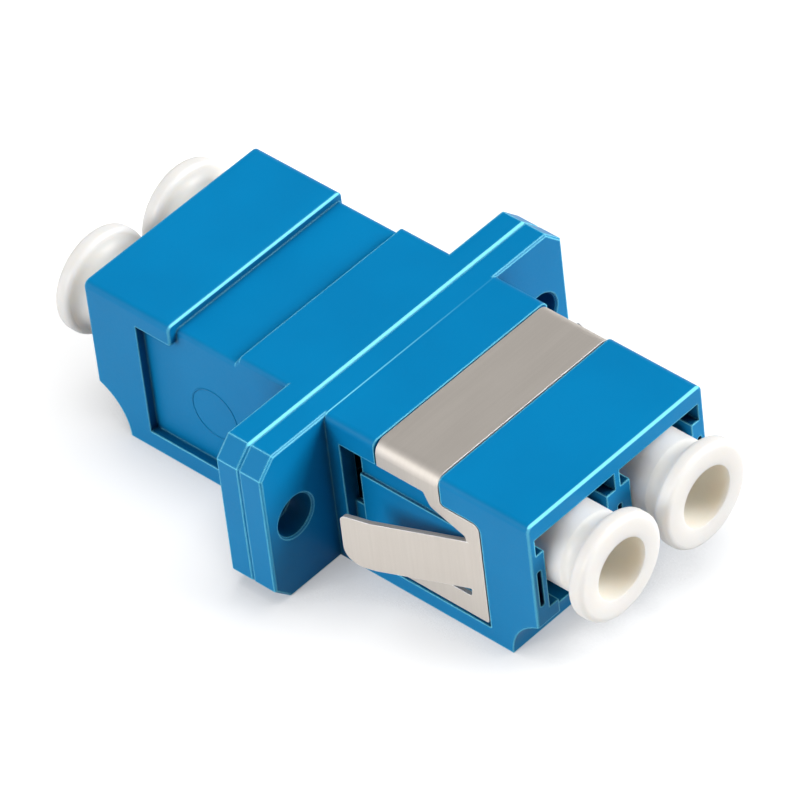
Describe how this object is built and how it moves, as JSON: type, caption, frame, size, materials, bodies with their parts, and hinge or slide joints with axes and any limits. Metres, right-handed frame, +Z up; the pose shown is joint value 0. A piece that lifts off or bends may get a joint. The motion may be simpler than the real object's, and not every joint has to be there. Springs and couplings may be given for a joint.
{
  "type": "duplex lc fibre adapter",
  "caption": "Duplex LC fibre adapter with a flanged two-part housing, ceramic split sleeves, a sprung steel panel clip and pull-out dust caps.",
  "frame": {"origin": "midway between the end faces and the sides, on the underside, in the plane of the weld seam", "axes": "+Y along the mating axis from the clip end to the plain end, +X across the two channels, +Z up with the latch slots below the ports"},
  "size_m": [0.022, 0.0354, 0.0094],
  "materials": {
    "housing": "satin moulded blue",
    "clip": "satin rolled stainless",
    "sleeve": "polished white zirconia",
    "cap": "soft natural white polyethylene"
  },
  "bodies": {
    "housing": {"housing_front": "housing", "housing_rear": "housing", "panel_clip": "clip", "split_sleeve_left": "sleeve", "split_sleeve_right": "sleeve"},
    "cap_front_left": {"dust_cap_front_left": "cap"},
    "cap_front_right": {"dust_cap_front_right": "cap"},
    "cap_rear_left": {"dust_cap_rear_left": "cap"},
    "cap_rear_right": {"dust_cap_rear_right": "cap"}
  },
  "joints": [
    {"name": "cap_front_left_pull", "type": "slide", "parent": "housing", "child": "cap_front_left", "axis": [0, -1, 0], "range_m": [0, 0.006]},
    {"name": "cap_front_right_pull", "type": "slide", "parent": "housing", "child": "cap_front_right", "axis": [0, -1, 0], "range_m": [0, 0.006]},
    {"name": "cap_rear_left_pull", "type": "slide", "parent": "housing", "child": "cap_rear_left", "axis": [0, 1, 0], "range_m": [0, 0.006]},
    {"name": "cap_rear_right_pull", "type": "slide", "parent": "housing", "child": "cap_rear_right", "axis": [0, 1, 0], "range_m": [0, 0.006]}
  ]
}
